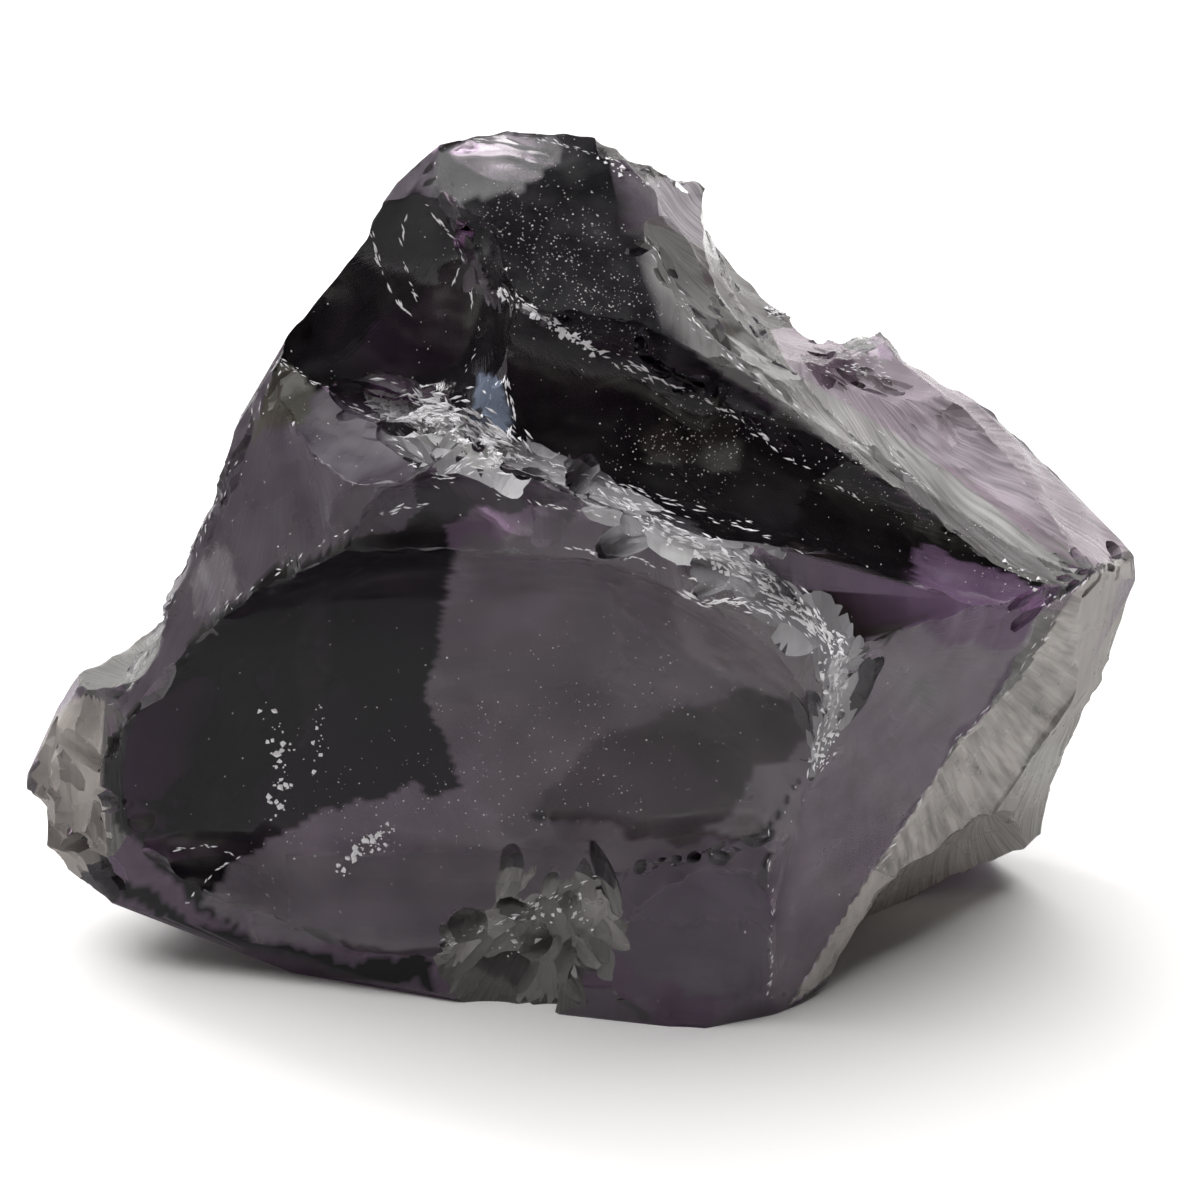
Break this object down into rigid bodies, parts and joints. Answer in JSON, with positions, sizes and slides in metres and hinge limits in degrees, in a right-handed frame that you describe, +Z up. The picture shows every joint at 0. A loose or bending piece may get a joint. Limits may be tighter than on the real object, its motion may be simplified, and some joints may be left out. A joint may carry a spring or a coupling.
{
  "type": "rough glass chunk",
  "caption": "Rough broken lump of dark violet see-through glass with shell-shaped fracture scars and sharp ridges, resting on a flat broken face.",
  "frame": {"origin": "middle of the bounding box's footprint, on the ground under the lump", "axes": "+X to the right along the longest extent, +Y to the back, +Z up; the large smooth scar faces the front (-Y)"},
  "size_m": [0.1226, 0.0727, 0.0915],
  "materials": {
    "violet_glass": "polished by its own fracture, frosted in places"
  },
  "bodies": {
    "root": {"glass_chunk": "violet_glass"}
  },
  "joints": []
}
